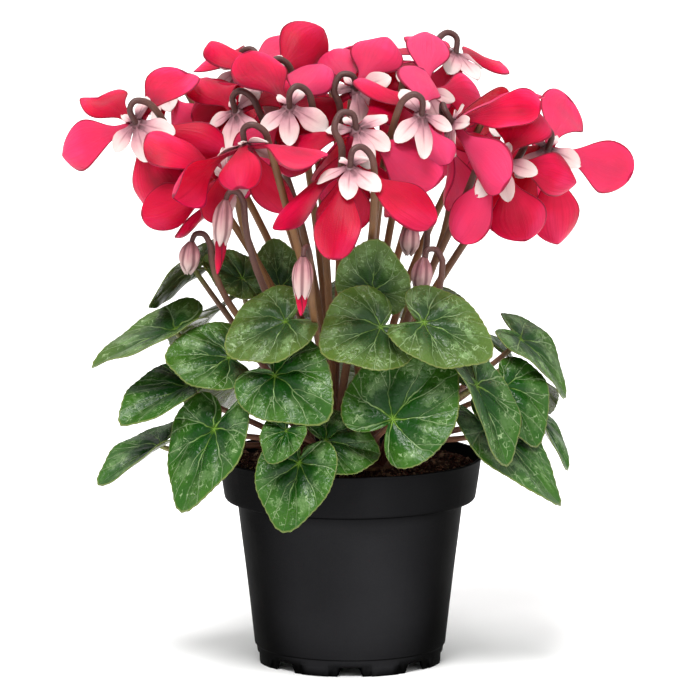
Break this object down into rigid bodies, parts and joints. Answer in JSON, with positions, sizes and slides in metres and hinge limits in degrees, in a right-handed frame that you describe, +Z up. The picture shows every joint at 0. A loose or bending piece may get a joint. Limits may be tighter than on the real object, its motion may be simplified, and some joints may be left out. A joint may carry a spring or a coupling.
{
  "type": "potted cyclamen",
  "caption": "Cyclamen in full bloom with marbled heart-shaped leaves, growing in soil in a round black plastic nursery pot.",
  "frame": {"origin": "on the pot's axis, at the level of its feet", "axes": "+Z up along the pot's axis, -Y to the front that the picture shows, +X to the picture's right"},
  "size_m": [0.2778, 0.2103, 0.3118],
  "materials": {
    "pot": "matt black moulded plastic",
    "soil": "loose dark red-brown peat",
    "tuber": "corky brown skin",
    "stalk": "fleshy brown-red stalks with white-pink sepals",
    "leaf": "deep green leaves with silver marbling",
    "petal": "satin coral red petals"
  },
  "bodies": {
    "root": {"pot": "pot", "soil": "soil", "tuber": "tuber", "flower_stalks_left_front": "stalk", "flower_stalks_right_front": "stalk", "flower_stalks_left_back": "stalk", "flower_stalks_right_back": "stalk", "leaf_01": "leaf", "leaf_02": "leaf", "leaf_03": "leaf", "leaf_04": "leaf", "leaf_05": "leaf", "leaf_06": "leaf", "leaf_07": "leaf", "leaf_08": "leaf", "leaf_09": "leaf", "leaf_10": "leaf", "leaf_11": "leaf", "leaf_12": "leaf", "leaf_13": "leaf", "leaf_14": "leaf", "leaf_15": "leaf", "leaf_16": "leaf", "leaf_17": "leaf", "leaf_18": "leaf", "leaf_19": "leaf", "leaf_20": "leaf", "leaf_21": "leaf", "leaf_22": "leaf", "leaf_23": "leaf", "leaf_24": "leaf", "leaf_25": "leaf", "leaf_26": "leaf", "leaf_27": "leaf", "leaf_28": "leaf", "leaf_29": "leaf", "leaf_30": "leaf", "bloom_01": "petal", "bloom_02": "petal", "bloom_03": "petal", "bloom_04": "petal", "bloom_05": "petal", "bloom_06": "petal", "bloom_07": "petal", "bloom_08": "petal", "bloom_09": "petal", "bloom_10": "petal", "bloom_11": "petal", "bloom_12": "petal", "bloom_13": "petal", "bloom_14": "petal", "bloom_15": "petal", "bloom_16": "petal", "bloom_17": "petal", "bloom_18": "petal", "bloom_19": "petal", "bloom_20": "petal", "bloom_21": "petal", "bloom_22": "petal"}
  },
  "joints": []
}
